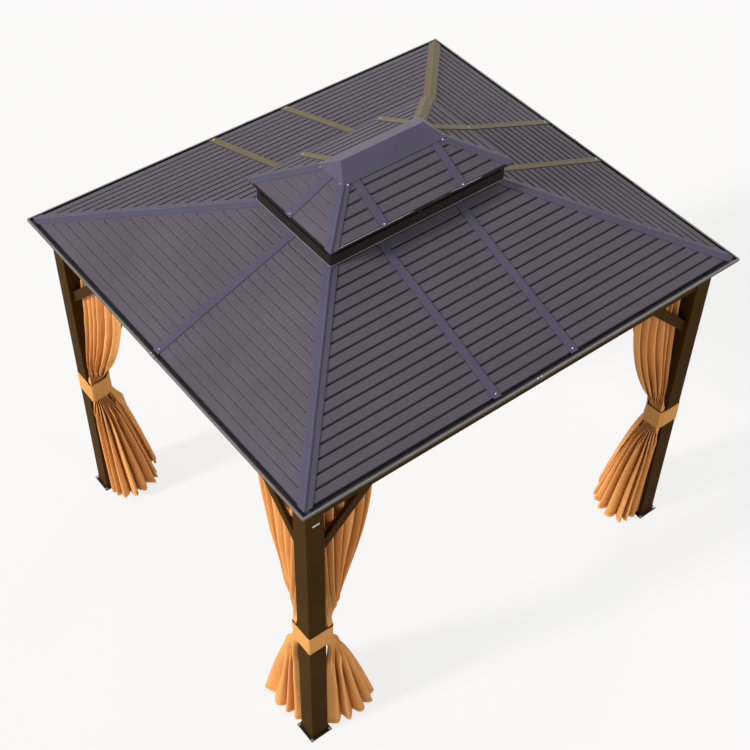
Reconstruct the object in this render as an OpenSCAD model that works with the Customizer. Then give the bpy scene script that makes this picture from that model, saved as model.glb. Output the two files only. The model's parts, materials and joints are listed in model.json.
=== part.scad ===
// Open metal gazebo with a two-tier ribbed hip roof and tied-back curtains.
// Millimetres, +Z up, +X along the long side, origin on the ground under the middle of the roof.

/* [Roof outline] */
// Length over the gutters
roof_l = 3050; // [2900:10:3300]
// Width over the gutters
roof_w = 2708; // [2600:10:2900]
// Height of the gutter lip
eave_h = 2345; // [2250:5:2450]
// Rise of the lower roof from its eave to the vent
lower_rise = 348; // [320:2:380]
// Length of the vent opening in the lower roof
vent_l = 1200; // [1120:10:1220]
// Width of the vent opening in the lower roof
vent_w = 670; // [640:10:700]

/* [Upper roof] */
// Length of the upper roof over its eave
upper_l = 1246; // [1220:2:1300]
// Width of the upper roof over its eave
upper_w = 738; // [710:2:780]
// Height of the upper eave above the top of the lower roof
upper_lift = 145; // [135:5:170]
// Rise of the upper roof from eave to ridge
upper_rise = 185; // [170:5:200]
// Length of the natural ridge of the upper roof
ridge_l = 470; // [450:10:490]
// Length of the ridge cap at its lower edge
cap_l = 706; // [690:2:720]
// Width of the ridge cap at its lower edge
cap_w = 234; // [220:2:250]
// Length of the crest of the ridge cap
crest_l = 563; // [540:2:580]

/* [Panels] */
// Vertical thickness of the roof sheet
sheet_t = 3; // [2:0.5:4]
// Grooves on each lower face
lower_grooves = 16; // [10:1:18]
// Grooves on each upper face
upper_grooves = 5; // [3:1:6]
// Depth of a groove
groove_d = 6; // [4:0.5:7]
// Width of a groove at its mouth
groove_w = 14; // [10:1:18]
// Distance of the long-face seams from the middle
long_seam = 270; // [255:5:272]
// Distance of the right-face seams from the middle
short_seam = 230; // [200:5:240]
// Width of a seam cap
seam_w = 48; // [40:2:52]
// Width of one wing of a hip cap
hip_wing = 38; // [34:1:42]
// Width of one wing of an upper hip cap
upper_wing = 36; // [32:1:40]
// Thickness of the seam and hip caps
strip_t = 4; // [3:0.5:6]

/* [Gutter] */
// Width of the gutter from lip to back edge
gutter_w = 124; // [116:2:130]
// Height of the gutter's outer wall
gutter_d = 18; // [15:1:22]
// Wall of the gutter
gutter_t = 3; // [2:0.5:4]
// Width of the turned-in gutter lip
lip_w = 9; // [7:1:12]

/* [Frame] */
// Side of a square post
post_w = 115; // [100:1:120]
// Distance of the posts behind the gutter lip on the short sides
overhang_x = 80; // [74:1:95]
// Distance of the posts behind the gutter lip on the long sides
overhang_y = 95; // [86:1:105]
// Height of a beam
beam_h = 197; // [160:1:210]
// Thickness of a beam
beam_t = 60; // [54:1:64]
// Distance of a beam behind the outer face of the posts
beam_set = 8; // [4:1:10]
// Length of a knee brace along the post and the beam
brace_leg = 350; // [320:5:390]
// Part of that length taken up by the brace's own width
brace_cut = 85; // [70:5:100]
// Thickness of a knee brace
brace_t = 24; // [20:1:32]
// Side of a base plate
plate_w = 150; // [146:1:160]
// Thickness of a base plate
plate_t = 8; // [6:1:12]
// Diameter of an anchor hole
hole_d = 11; // [9:0.5:12]
// Distance between the anchor holes
hole_gap = 128; // [124:1:130]

/* [Curtains] */
// Width of a tied-back curtain at the rail
curtain_top = 380; // [340:5:420]
// Reach of a curtain from the post at the ground
curtain_foot = 285; // [260:5:320]
// Height of the middle of the strap
strap_h = 1020; // [950:5:1080]
// Width of the strap
strap_w = 155; // [130:5:170]
// Thickness of the strap
strap_t = 4; // [3:0.5:6]

/* [Hidden] */
$fn = 48;
clear = 0.3;
span = 2 * roof_l;

gutter_x = roof_l / 2;
gutter_y = roof_w / 2;
post_x = gutter_x - overhang_x;
post_y = gutter_y - overhang_y;
post_r = 5;
frame_top = eave_h - gutter_d;
beam_z = frame_top - beam_h;

// Half sizes and heights of a roof tier: eave x, eave y, top x, top y, eave z, top z
panel_set = 34;
panel_lift = 7;
vent_h = eave_h + panel_lift + lower_rise;
upper_h = vent_h + upper_lift;
lower_tier = [gutter_x - panel_set, gutter_y - panel_set, vent_l / 2, vent_w / 2,
              eave_h + panel_lift, vent_h];
upper_gap = 20;
upper_keep = 1 - upper_gap / upper_rise;
upper_x = upper_l / 2;
upper_y = upper_w / 2;
upper_tier = [upper_x, upper_y, upper_x + (ridge_l / 2 - upper_x) * upper_keep,
              upper_y * (1 - upper_keep), upper_h, upper_h + upper_rise - upper_gap];
panel_gap = 4;
cap_over = 8;
groove_margin = 9;
hip_margin = 58;
rafter_w = 30;
rafter_h = 45;

eave_plate_w = 40;
vent_wall = 30;
vent_up = 70;
vent_down = 60;
vent_top = vent_h + vent_up;
upper_frame_h = 33;
upper_frame_z = upper_h - upper_frame_h;
rib_clear = groove_d + 3 * sheet_t;
ridge_beam_l = 600;
ridge_beam_w = 90;
ridge_beam_h = 60;
trim_t = 3;
trim_h = 14;
cap_edge = 6;
cap_rise = 64;

rail_w = 22;
rail_z = beam_z + 3;
curtain_z = 15;
bundle = 52;
bundle_in = 100;
shoulder_share = 0.55;
knee_share = 0.6;
foot_out = 52;
strap_low = strap_h - strap_w / 2;
strap_high = strap_h + strap_w / 2;

frame_c = "#4a3418";
plate_c = "#2a2622";
panel_c = "#5c5866";
strip_c = "#54505e";
gutter_c = "#6c6a68";
dark_c = "#26242c";
cloth_c = "#d9a066";
strap_c = "#e6bd80";

// Height of a sloping face at a distance from the middle
function face_z(eave, top, tier, out) =
    tier[4] + (tier[5] - tier[4]) * (eave - out) / (eave - top);

// Turns a side built facing +Y to the named side
module facing(side) {
    rotate([0, 0, side == "back" ? 0 : side == "front" ? 180 : side == "left" ? 90 : -90]) children();
}

module flip(sign, axis) {
    if (sign < 0) mirror(axis) children();
    else children();
}

// Places a shape drawn from a post's outer corner inwards
module corner(sx, sy) {
    flip(sx, [1, 0, 0]) flip(sy, [0, 1, 0])
        translate([post_x, post_y, 0]) rotate([0, 0, 180]) children();
}

// Extrudes an outline of (outward distance, height) along the side, centred
module along(length) {
    translate([-length / 2, 0, 0]) rotate([90, 0, 90]) linear_extrude(length) children();
}

module box(lo, hi) {
    translate(lo) cube(hi - lo);
}

module ring(x, y, wall, z0, z1) {
    difference() {
        box([-x, -y, z0], [x, y, z1]);
        box([wall - x, wall - y, z0 - 1], [x - wall, y - wall, z1 + 1]);
    }
}

module rounded_square(side, radius) {
    translate([radius, 0]) square([side - 2 * radius, side]);
    translate([0, radius]) square([side, side - 2 * radius]);
    for (x = [radius, side - radius], y = [radius, side - radius]) translate([x, y]) circle(radius);
}

// Frame
module post(sx, sy) {
    color(frame_c) corner(sx, sy)
        translate([0, 0, plate_t]) linear_extrude(frame_top - plate_t) rounded_square(post_w, post_r);
}

module base_plates() {
    middle = post_w / 2;
    color(plate_c) for (sx = [-1, 1], sy = [-1, 1]) corner(sx, sy) translate([middle, middle, 0])
        difference() {
            translate([-plate_w / 2, -plate_w / 2, 0]) cube([plate_w, plate_w, plate_t]);
            for (x = [-1, 1], y = [-1, 1])
                translate([x * hole_gap / 2, y * hole_gap / 2, -1]) cylinder(h = plate_t + 2, d = hole_d);
        }
}

module beam(side, half, out) {
    color(frame_c) facing(side)
        box([post_w - half, out - beam_set - beam_t, beam_z], [half - post_w, out - beam_set, frame_top]);
}

module side_braces(half, out) {
    inner = half - post_w;
    back = out - beam_set - (beam_t + brace_t) / 2;
    for (end = [-1, 1]) flip(end, [1, 0, 0])
        translate([inner, back + brace_t, beam_z]) rotate([90, 0, 0]) linear_extrude(brace_t)
            polygon([[0, -brace_leg], [0, brace_cut - brace_leg],
                     [brace_cut - brace_leg, 0], [-brace_leg, 0]]);
}

module knee_braces() {
    color(frame_c) {
        facing("front") side_braces(post_x, post_y);
        facing("back") side_braces(post_x, post_y);
        facing("left") side_braces(post_y, post_x);
        facing("right") side_braces(post_y, post_x);
    }
}

module side_rail(half, out) {
    face = out - beam_set - beam_t;
    box([post_w - half, face - rail_w, rail_z], [half - post_w, face, rail_z + rail_w]);
}

module curtain_rails() {
    color(frame_c) {
        facing("front") side_rail(post_x, post_y);
        facing("back") side_rail(post_x, post_y);
        facing("left") side_rail(post_y, post_x);
        facing("right") side_rail(post_y, post_x);
    }
}

// Eaves
module eave_plates() {
    x = gutter_x - gutter_w;
    y = gutter_y - gutter_w;
    top = min(face_z(lower_tier[0], lower_tier[2], lower_tier, x),
              face_z(lower_tier[1], lower_tier[3], lower_tier, y)) - rib_clear;
    color(frame_c) for (end = [-1, 1]) {
        flip(end, [1, 0, 0]) box([x - eave_plate_w, -y, frame_top], [x, y, top]);
        flip(end, [0, 1, 0])
            box([1 + eave_plate_w - x, y - eave_plate_w, frame_top], [x - eave_plate_w - 1, y, top]);
    }
}

module gutter(side, half, out) {
    back = out - gutter_w;
    color(gutter_c) facing(side) intersection() {
        along(span) polygon([
            [out, eave_h], [out, frame_top], [back, frame_top], [back, frame_top + gutter_t],
            [out - gutter_t, frame_top + gutter_t], [out - gutter_t, eave_h - gutter_t],
            [out - lip_w, eave_h - gutter_t], [out - lip_w, eave_h]]);
        linear_extrude(2 * eave_h)
            polygon([[-half, out], [half, out], [half - gutter_w, back], [gutter_w - half, back]]);
    }
}

// Roof faces
module roof_prism(eave, top, tier, drop) {
    far = eave + gutter_w;
    foot = face_z(eave, top, tier, far) - drop;
    crown = face_z(eave, top, tier, 0) - drop;
    along(span) polygon([[-far, 0], [-far, foot], [0, crown], [far, foot], [far, 0]]);
}

// Everything below a tier's faces, lowered by drop
module under_roof(tier, drop) {
    intersection() {
        roof_prism(tier[1], tier[3], tier, drop);
        rotate([0, 0, 90]) roof_prism(tier[0], tier[2], tier, drop);
    }
}

// A layer of a face between two heights above its surface
module face_layer(eave, top, tier, from_out, to_out, low, high, length) {
    near = face_z(eave, top, tier, from_out);
    far = face_z(eave, top, tier, to_out);
    along(length)
        polygon([[from_out, near + low], [from_out, near + high], [to_out, far + high], [to_out, far + low]]);
}

// Panels of one face, parted at the seams, with grooves that show as ribs below
module face_panels(eave, top, half_eave, half_top, tier, seams, grooves) {
    last = len(seams);
    pitch = (eave - top) / (grooves + 1);
    mouth = groove_w / 2;
    bed = groove_w / 4;
    function low_x(i, half, seam_in, hip_in) = i == 0 ? hip_in - half : seams[i - 1] + seam_in;
    function high_x(i, half, seam_in, hip_in) = i == last ? half - hip_in : seams[i] - seam_in;
    // Where an end panel, set in from its edges, runs out of width below the top
    function tip(i, seam_in, hip_in) = i > 0 && i < last ? top :
        max(top, top + (abs(seams[0]) + seam_in + hip_in + panel_gap - half_top)
            * (eave - top) / (half_eave - half_top));
    module plan(i, seam_in, hip_in) {
        near = tip(i, seam_in, hip_in);
        half_near = half_top + (half_eave - half_top) * (near - top) / (eave - top);
        linear_extrude(2 * eave_h) polygon([
            [low_x(i, half_eave, seam_in, hip_in), eave], [high_x(i, half_eave, seam_in, hip_in), eave],
            [high_x(i, half_near, seam_in, hip_in), near], [low_x(i, half_near, seam_in, hip_in), near]]);
    }
    // Outlines of the grooves, or of the ribs round them when grown
    module grooves_at(grow, top_drop) {
        along(span) for (n = [1:grooves]) {
            out = top + n * pitch;
            wide = mouth + grow;
            narrow = bed + grow;
            floor_z = face_z(eave, top, tier, out) - groove_d - grow;
            polygon([[out - wide, face_z(eave, top, tier, out - wide) - top_drop],
                     [out + wide, face_z(eave, top, tier, out + wide) - top_drop],
                     [out + narrow, floor_z], [out - narrow, floor_z]]);
        }
    }
    seam_in = seam_w / 2 + groove_margin;
    for (i = [0:last]) difference() {
        union() {
            intersection() {
                plan(i, panel_gap / 2, panel_gap / 2);
                face_layer(eave, top, tier, top, eave, -sheet_t, 0, span);
            }
            intersection() {
                plan(i, seam_in - sheet_t, hip_margin - sheet_t);
                grooves_at(sheet_t, sheet_t / 2);
            }
        }
        intersection() {
            plan(i, seam_in, hip_margin);
            grooves_at(0, 0);
        }
    }
}

function long_seams() = [-long_seam, long_seam];
function right_seams() = [-short_seam, short_seam];

module tier_panels_long(tier, grooves) {
    face_panels(tier[1], tier[3], tier[0], tier[2], tier, long_seams(), grooves);
}

module tier_panels_short(tier, seams, grooves) {
    face_panels(tier[0], tier[2], tier[1], tier[3], tier, seams, grooves);
}

module hip_strips(tier, wing, inner_x, inner_y) {
    angle = atan2(tier[1] - tier[3], tier[0] - tier[2]);
    reach = norm([tier[0], tier[1]]);
    intersection() {
        difference() {
            under_roof(tier, -strip_t);
            under_roof(tier, 0);
        }
        for (sx = [-1, 1], sy = [-1, 1]) flip(sx, [1, 0, 0]) flip(sy, [0, 1, 0]) difference() {
            intersection() {
                translate([tier[0], tier[1], 0]) rotate([0, 0, angle])
                    box([-reach, -wing, 0], [reach, wing, 2 * eave_h]);
                box([0, 0, 0], [tier[0] + cap_over, tier[1] + cap_over, 2 * eave_h]);
            }
            box([-1, -1, -1], [inner_x, inner_y, 2 * eave_h + 1]);
        }
    }
}

module seam_strips(eave, top, tier, from_out, seams) {
    for (x = seams) translate([x, 0, 0])
        face_layer(eave, top, tier, from_out, eave + cap_over, 0, strip_t, seam_w);
}

// Hip rafters under one tier between two rectangles
module hip_bars(tier, outer_x, outer_y, inner_x, inner_y) {
    run = [tier[0] - tier[2], tier[1] - tier[3]];
    angle = atan2(run[1], run[0]);
    reach = norm(run);
    rise = tier[5] - tier[4];
    intersection() {
        under_roof(tier, sheet_t);
        for (sx = [-1, 1], sy = [-1, 1]) flip(sx, [1, 0, 0]) flip(sy, [0, 1, 0]) difference() {
            intersection() {
                translate([tier[0], tier[1], tier[4] - sheet_t]) rotate([0, 0, angle])
                    rotate([90, 0, 0]) translate([0, 0, -rafter_w / 2]) linear_extrude(rafter_w)
                        polygon([[0, 0], [0, -rafter_h],
                                 [-2 * reach, 2 * rise - rafter_h], [-2 * reach, 2 * rise]]);
                box([0, 0, 0], [outer_x, outer_y, 2 * eave_h]);
            }
            box([-1, -1, 0], [inner_x, inner_y, 2 * eave_h]);
        }
    }
}

// Lower roof
module hip_rafters() {
    color(frame_c) hip_bars(lower_tier, gutter_x - gutter_w - eave_plate_w,
        gutter_y - gutter_w - eave_plate_w, lower_tier[2], lower_tier[3]);
}

module side_rafters(eave, top, out, seams) {
    for (x = seams) translate([x, 0, 0])
        face_layer(eave, top, lower_tier, top, out, -sheet_t - rafter_h, -sheet_t, rafter_w);
}

module seam_rafters() {
    back_x = gutter_x - gutter_w - eave_plate_w;
    back_y = gutter_y - gutter_w - eave_plate_w;
    color(frame_c) {
        facing("front") side_rafters(lower_tier[1], lower_tier[3], back_y, long_seams());
        facing("back") side_rafters(lower_tier[1], lower_tier[3], back_y, long_seams());
        facing("left") side_rafters(lower_tier[0], lower_tier[2], back_x, [0]);
        facing("right") side_rafters(lower_tier[0], lower_tier[2], back_x, right_seams());
    }
}

module lower_panels_long(side) {
    color(panel_c) facing(side) tier_panels_long(lower_tier, lower_grooves);
}

module lower_panels_short(side, seams) {
    color(panel_c) facing(side) tier_panels_short(lower_tier, seams, lower_grooves);
}

module lower_hip_caps() {
    color(strip_c) hip_strips(lower_tier, hip_wing, lower_tier[2], lower_tier[3]);
}

module lower_seam_caps() {
    color(strip_c) {
        facing("front") seam_strips(lower_tier[1], lower_tier[3], lower_tier, lower_tier[3], long_seams());
        facing("back") seam_strips(lower_tier[1], lower_tier[3], lower_tier, lower_tier[3], long_seams());
        facing("left") seam_strips(lower_tier[0], lower_tier[2], lower_tier, lower_tier[2], [0]);
        facing("right") seam_strips(lower_tier[0], lower_tier[2], lower_tier, lower_tier[2], right_seams());
    }
}

// Vent
module vent_frame() {
    x = lower_tier[2];
    y = lower_tier[3];
    color(dark_c) {
        ring(x, y, vent_wall, vent_h - vent_down, vent_top);
        for (sx = [-1, 1], sy = [-1, 1]) flip(sx, [1, 0, 0]) flip(sy, [0, 1, 0])
            box([x - vent_wall, y - vent_wall, vent_top], [x, y, upper_frame_z]);
        for (sy = [-1, 1]) flip(sy, [0, 1, 0])
            box([-vent_wall / 2, y - vent_wall, vent_top], [vent_wall / 2, y, upper_frame_z]);
    }
}

// Upper roof
module upper_frame() {
    color(frame_c) intersection() {
        under_roof(upper_tier, rib_clear);
        ring(lower_tier[2], lower_tier[3], vent_wall, upper_frame_z, upper_tier[5]);
    }
}

module upper_rafters() {
    color(frame_c) hip_bars(upper_tier, lower_tier[2] - vent_wall, lower_tier[3] - vent_wall,
        ridge_beam_l / 2, ridge_beam_w / 2);
}

module ridge_beam() {
    top = upper_h + upper_rise;
    color(frame_c) intersection() {
        under_roof(upper_tier, sheet_t);
        box([-ridge_beam_l / 2, -ridge_beam_w / 2, top - ridge_beam_h - sheet_t - upper_gap],
            [ridge_beam_l / 2, ridge_beam_w / 2, top]);
    }
}

module upper_panels() {
    color(panel_c) {
        facing("front") tier_panels_long(upper_tier, upper_grooves);
        facing("back") tier_panels_long(upper_tier, upper_grooves);
        facing("left") tier_panels_short(upper_tier, [0], upper_grooves);
        facing("right") tier_panels_short(upper_tier, [0], upper_grooves);
    }
}

module upper_eave_trim() {
    top = upper_h - trim_t;
    color(dark_c) ring(upper_x + trim_t, upper_y + trim_t, trim_t, top - trim_h, top);
}

module upper_hip_caps() {
    color(strip_c) hip_strips(upper_tier, upper_wing, cap_l / 2, cap_w / 2);
}

module upper_seam_caps() {
    color(strip_c) {
        facing("front") seam_strips(upper_tier[1], upper_tier[3], upper_tier, cap_w / 2, long_seams());
        facing("back") seam_strips(upper_tier[1], upper_tier[3], upper_tier, cap_w / 2, long_seams());
        facing("left") seam_strips(upper_tier[0], upper_tier[2], upper_tier, cap_l / 2, [0]);
        facing("right") seam_strips(upper_tier[0], upper_tier[2], upper_tier, cap_l / 2, [0]);
    }
}

module ridge_cap() {
    edge = face_z(upper_tier[1], upper_tier[3], upper_tier, cap_w / 2) + cap_edge;
    crest = edge + cap_rise;
    color(strip_c) difference() {
        intersection() {
            along(span) polygon([[-cap_w / 2, upper_h], [-cap_w / 2, edge], [0, crest],
                [cap_w / 2, edge], [cap_w / 2, upper_h]]);
            rotate([0, 0, 90]) along(span) polygon([
                [-cap_l / 2, upper_h], [-cap_l / 2, edge], [-crest_l / 2, crest],
                [crest_l / 2, crest], [cap_l / 2, edge], [cap_l / 2, upper_h]]);
        }
        under_roof(upper_tier, 0);
    }
}

// Curtains, drawn from the post's outer corner: u along the side, v inwards
module curtain_shape() {
    near = post_w + clear;
    tie = post_w + bundle - clear;
    top = rail_z - clear;
    front = beam_set + (beam_t + brace_t) / 2 + clear;
    back = beam_set + beam_t + 2 * rail_w;
    knee = strap_low - strap_w;
    shoulder = strap_high + 2 * strap_w;
    intersection() {
        rotate([90, 0, 0]) translate([0, 0, -span / 2]) linear_extrude(span) polygon([
            [near, curtain_z], [near, top], [near + curtain_top, top],
            [near + curtain_top * shoulder_share, shoulder], [tie, strap_high], [tie, strap_low],
            [near + curtain_foot * knee_share, knee], [near + curtain_foot, curtain_z]]);
        rotate([90, 0, 90]) translate([0, 0, -span / 2]) linear_extrude(span) polygon([
            [front, top], [back, top], [post_w, shoulder], [bundle_in, strap_high], [bundle_in, strap_low],
            [post_w, knee], [curtain_foot, curtain_z], [-foot_out, curtain_z], [0, knee], [clear, strap_low],
            [clear, strap_high], [front, shoulder]]);
        linear_extrude(2 * eave_h) polygon([[near, -span / 2], [near, near - clear],
            [near + span, near + span - clear], [near + span, -span / 2]]);
    }
}

module curtain(sx, sy, swap) {
    color(cloth_c) corner(sx, sy) flip(swap ? -1 : 1, [1, -1, 0]) curtain_shape();
}

module strap(sx, sy) {
    reach = post_w + bundle;
    color(strap_c) corner(sx, sy) translate([0, 0, strap_low]) linear_extrude(strap_w) difference() {
        polygon([[-clear - strap_t, -clear - strap_t], [reach + strap_t, -clear - strap_t],
                 [reach + strap_t, bundle_in + strap_t], [bundle_in + strap_t, reach + strap_t],
                 [-clear - strap_t, reach + strap_t]]);
        polygon([[-clear, -clear], [reach, -clear], [reach, bundle_in], [bundle_in, reach], [-clear, reach]]);
    }
}

post(-1, -1);  // post_front_left
post(1, -1);  // post_front_right
post(-1, 1);  // post_back_left
post(1, 1);  // post_back_right
base_plates();
beam("front", post_x, post_y);  // beam_front
beam("back", post_x, post_y);  // beam_back
beam("left", post_y, post_x);  // beam_left
beam("right", post_y, post_x);  // beam_right
knee_braces();
curtain_rails();
eave_plates();
gutter("front", gutter_x, gutter_y);  // gutter_front
gutter("back", gutter_x, gutter_y);  // gutter_back
gutter("left", gutter_y, gutter_x);  // gutter_left
gutter("right", gutter_y, gutter_x);  // gutter_right
hip_rafters();
seam_rafters();
lower_panels_long("front");  // lower_panels_front
lower_panels_long("back");  // lower_panels_back
lower_panels_short("left", [0]);  // lower_panels_left
lower_panels_short("right", right_seams());  // lower_panels_right
lower_hip_caps();
lower_seam_caps();
vent_frame();
upper_frame();
upper_rafters();
ridge_beam();
upper_panels();
upper_eave_trim();
upper_hip_caps();
upper_seam_caps();
ridge_cap();
curtain(-1, -1, false);  // curtain_front_left_x
curtain(-1, -1, true);  // curtain_front_left_y
curtain(1, -1, false);  // curtain_front_right_x
curtain(1, -1, true);  // curtain_front_right_y
curtain(-1, 1, false);  // curtain_back_left_x
curtain(-1, 1, true);  // curtain_back_left_y
curtain(1, 1, false);  // curtain_back_right_x
curtain(1, 1, true);  // curtain_back_right_y
strap(-1, -1);  // strap_front_left
strap(1, -1);  // strap_front_right
strap(-1, 1);  // strap_back_left
strap(1, 1);  // strap_back_right
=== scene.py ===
"""Looks of an open metal gazebo: painted frame, ribbed two-tier roof, tied-back curtains."""

import json
import math

import bmesh
import bpy
import numpy as np
from mathutils import Matrix, Vector


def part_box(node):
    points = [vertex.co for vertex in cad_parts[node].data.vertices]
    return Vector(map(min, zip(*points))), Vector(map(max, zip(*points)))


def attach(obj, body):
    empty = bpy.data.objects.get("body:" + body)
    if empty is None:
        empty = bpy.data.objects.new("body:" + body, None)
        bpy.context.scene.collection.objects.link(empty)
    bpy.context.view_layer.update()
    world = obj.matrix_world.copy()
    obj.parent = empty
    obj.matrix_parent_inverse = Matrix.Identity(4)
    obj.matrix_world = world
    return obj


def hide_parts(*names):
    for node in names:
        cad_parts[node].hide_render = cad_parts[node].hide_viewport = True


bl_info = {
    "name": "Metal gazebo dressing",
    "version": (1, 0, 0),
    "blender": (4, 5, 0),
    "location": "View3D > Sidebar > Gazebo",
    "description": "Dresses the gazebo frame with cloth, fasteners, finishes and a stage",
    "category": "Object",
}

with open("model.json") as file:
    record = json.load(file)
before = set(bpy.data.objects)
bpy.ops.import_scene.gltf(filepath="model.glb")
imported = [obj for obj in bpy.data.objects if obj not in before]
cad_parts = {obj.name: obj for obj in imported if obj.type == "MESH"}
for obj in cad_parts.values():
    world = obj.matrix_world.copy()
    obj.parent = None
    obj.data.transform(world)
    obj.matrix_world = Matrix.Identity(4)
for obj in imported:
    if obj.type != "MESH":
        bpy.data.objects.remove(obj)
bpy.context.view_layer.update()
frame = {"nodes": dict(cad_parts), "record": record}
BODY = "root"

CORNERS = {
    "front_left": (-1, -1),
    "front_right": (1, -1),
    "back_left": (-1, 1),
    "back_right": (1, 1),
}
SIDES = (("front", 1, -1), ("back", 1, 1), ("left", 0, -1), ("right", 0, 1))
SHEET_T = 0.003
STRIP_T = 0.004
RAIL_HALF = 0.011
BRACE_T = 0.024
BRACE_CUT = 0.085
HOLE_OFF = 0.064

POST_LO, POST_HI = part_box("post_front_left")
POST_W = POST_HI[0] - POST_LO[0]
POST_X, POST_Y = abs(POST_LO[0]), abs(POST_LO[1])
RAIL_IN = POST_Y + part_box("beam_front")[1][1] + RAIL_HALF


def in_plan(axis, out, along, z):
    """A point from its place on one plan axis, on the other one, and its height."""
    return (along, out, z) if axis else (out, along, z)


# Settings

class GazeboFinish(bpy.types.PropertyGroup):
    """Colours of the painted metal and the cloth."""

    frame_paint: bpy.props.FloatVectorProperty(
        name="Frame paint", description="Satin brown of posts, beams and braces",
        default=(0.046, 0.022, 0.0035), size=3, min=0, max=1, subtype="COLOR")
    roof_paint: bpy.props.FloatVectorProperty(
        name="Roof paint", description="Grey-violet of the roof sheets",
        default=(0.112, 0.098, 0.130), size=3, min=0, max=1, subtype="COLOR")
    cloth: bpy.props.FloatVectorProperty(
        name="Curtain cloth", description="Warm sand colour of the curtains",
        default=(0.80, 0.365, 0.112), size=3, min=0, max=1, subtype="COLOR")
    strap: bpy.props.FloatVectorProperty(
        name="Strap cloth", description="Lighter sand colour of the straps",
        default=(0.69, 0.32, 0.085), size=3, min=0, max=1, subtype="COLOR")


class GazeboCurtain(bpy.types.PropertyGroup):
    """Sizes of the tied-back curtains."""

    pleats: bpy.props.IntProperty(
        name="Pleats", description="Broad folds across one curtain at the rail", default=6, min=4, max=10)
    tie_pleats: bpy.props.IntProperty(
        name="Gathers", description="Small folds across one curtain in the strap", default=10, min=8, max=16)
    cut_width: bpy.props.FloatProperty(
        name="Cut width", description="Flat width of one curtain",
        default=0.92, min=0.6, max=2.0, unit="LENGTH")
    drop: bpy.props.FloatProperty(
        name="Gap below the rail", description="Length of the gliders between rail and cloth",
        default=0.012, min=0.004, max=0.03, unit="LENGTH")
    thickness: bpy.props.FloatProperty(
        name="Thickness", description="Thickness of the curtain cloth",
        default=0.0012, min=0.0005, max=0.004, unit="LENGTH")


class GazeboStage(bpy.types.PropertyGroup):
    """Light and camera."""

    sun: bpy.props.FloatProperty(
        name="Sun", description="Strength of the key light", default=3.3, min=0, max=10)
    sky: bpy.props.FloatProperty(
        name="Sky", description="Strength of the even light all round", default=0.32, min=0, max=2)
    glow: bpy.props.FloatProperty(
        name="Back light", description="Strength of the warm light from behind", default=0.6, min=0, max=10)
    fill: bpy.props.FloatProperty(
        name="Front fill", description="Strength of the weak light from the front",
        default=1.05, min=0, max=10)
    lens: bpy.props.FloatProperty(
        name="Lens", description="Focal length", default=68.13, min=20, max=200, unit="CAMERA")


# Mesh helpers

def link_new(name, data):
    """Adds an object to the scene."""
    made = bpy.data.objects.new(name, data)
    bpy.context.scene.collection.objects.link(made)
    return made


def add_object(name, mesh, material):
    """Adds a mesh as a piece that rides on the frame."""
    piece = link_new(name, mesh)
    if material is not None:
        mesh.materials.clear()
        mesh.materials.append(material)
    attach(piece, BODY)
    return piece


def smooth(mesh, degrees=40):
    """Shades a mesh smooth, with sharp edges past an angle."""
    mesh.shade_smooth()
    mesh.set_sharp_from_angle(angle=math.radians(degrees))


def plain_mesh(name, work):
    """Turns an edit mesh into a plain one."""
    mesh = bpy.data.meshes.new(name)
    work.to_mesh(mesh)
    work.free()
    return mesh


def bake_modifiers(piece):
    """Turns a piece with modifiers into a plain mesh."""
    graph = bpy.context.evaluated_depsgraph_get()
    mesh = bpy.data.meshes.new_from_object(piece.evaluated_get(graph))
    piece.modifiers.clear()
    piece.data = mesh
    return mesh


def grid_mesh(name, points, closed_u=False, uv=None, closed_v=False):
    """A sheet mesh through a rows by columns array of points, with a UV map where one is given."""
    rows, cols = points.shape[:2]
    mesh = bpy.data.meshes.new(name)
    faces = []
    for r in range(rows if closed_v else rows - 1):
        e = (r + 1) % rows
        for c in range(cols if closed_u else cols - 1):
            d = (c + 1) % cols
            faces.append((r * cols + c, r * cols + d, e * cols + d, e * cols + c))
    mesh.from_pydata([tuple(p) for p in points.reshape(-1, 3)], [], faces)
    if uv is not None:
        layer = mesh.uv_layers.new(name="UVMap")
        flat = uv.reshape(-1, 2)
        for loop in mesh.loops:
            layer.data[loop.index].uv = flat[loop.vertex_index]
    mesh.update()
    return mesh


def thicken(piece, thickness, offset=0):
    """Gives a sheet its thickness and turns its faces outwards."""
    solid = piece.modifiers.new("Thickness", "SOLIDIFY")
    solid.thickness = thickness
    solid.offset = offset
    face_outwards(bake_modifiers(piece))


def face_outwards(mesh):
    """Turns the faces of closed solids outwards."""
    work = bmesh.new()
    work.from_mesh(mesh)
    bmesh.ops.recalc_face_normals(work, faces=work.faces)
    work.to_mesh(mesh)
    work.free()


# Materials

# Painted reflection: a bronze tint on the caps that face the warm light from behind.
WARM_SHEEN_TINT = (0.150, 0.105, 0.040)
# Painted light: a pale colour on the lower groove walls of the left faces, where the key sun casts shade, to
# lift that shade.
GROOVE_LIGHT_PAINT = (0.36, 0.29, 0.35)
GROOVE_LIGHT_FROM, GROOVE_LIGHT_TO = -0.12, -0.01
GROOVE_LIGHT_DEPTH = 0.0012
LOWER_GROOVES = 16
UPPER_GROOVES = 5
# Painted shade along every groove: the line's core and edge, in steps between grooves, and its darkness.
LINE_CORE = 0.060
LINE_EDGE = 0.105
LINE_SHADE = 0.92
# Painted shade: the share kept on the sunlit left faces, and how far the occlusion search reaches.
LEFT_SHADE_SHARE = 0.12
SHADE_REACH = 0.022
# How far the gutter's painted shade reaches.
GUTTER_SHADE_REACH = 0.020
# How far the curtains' painted crease shade reaches.
CREASE_SHADE_REACH = 0.050
LIP_H = 0.0065
STITCH_HALF = 0.0022
STITCHES = 160.0
YARNS = 260.0


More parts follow.
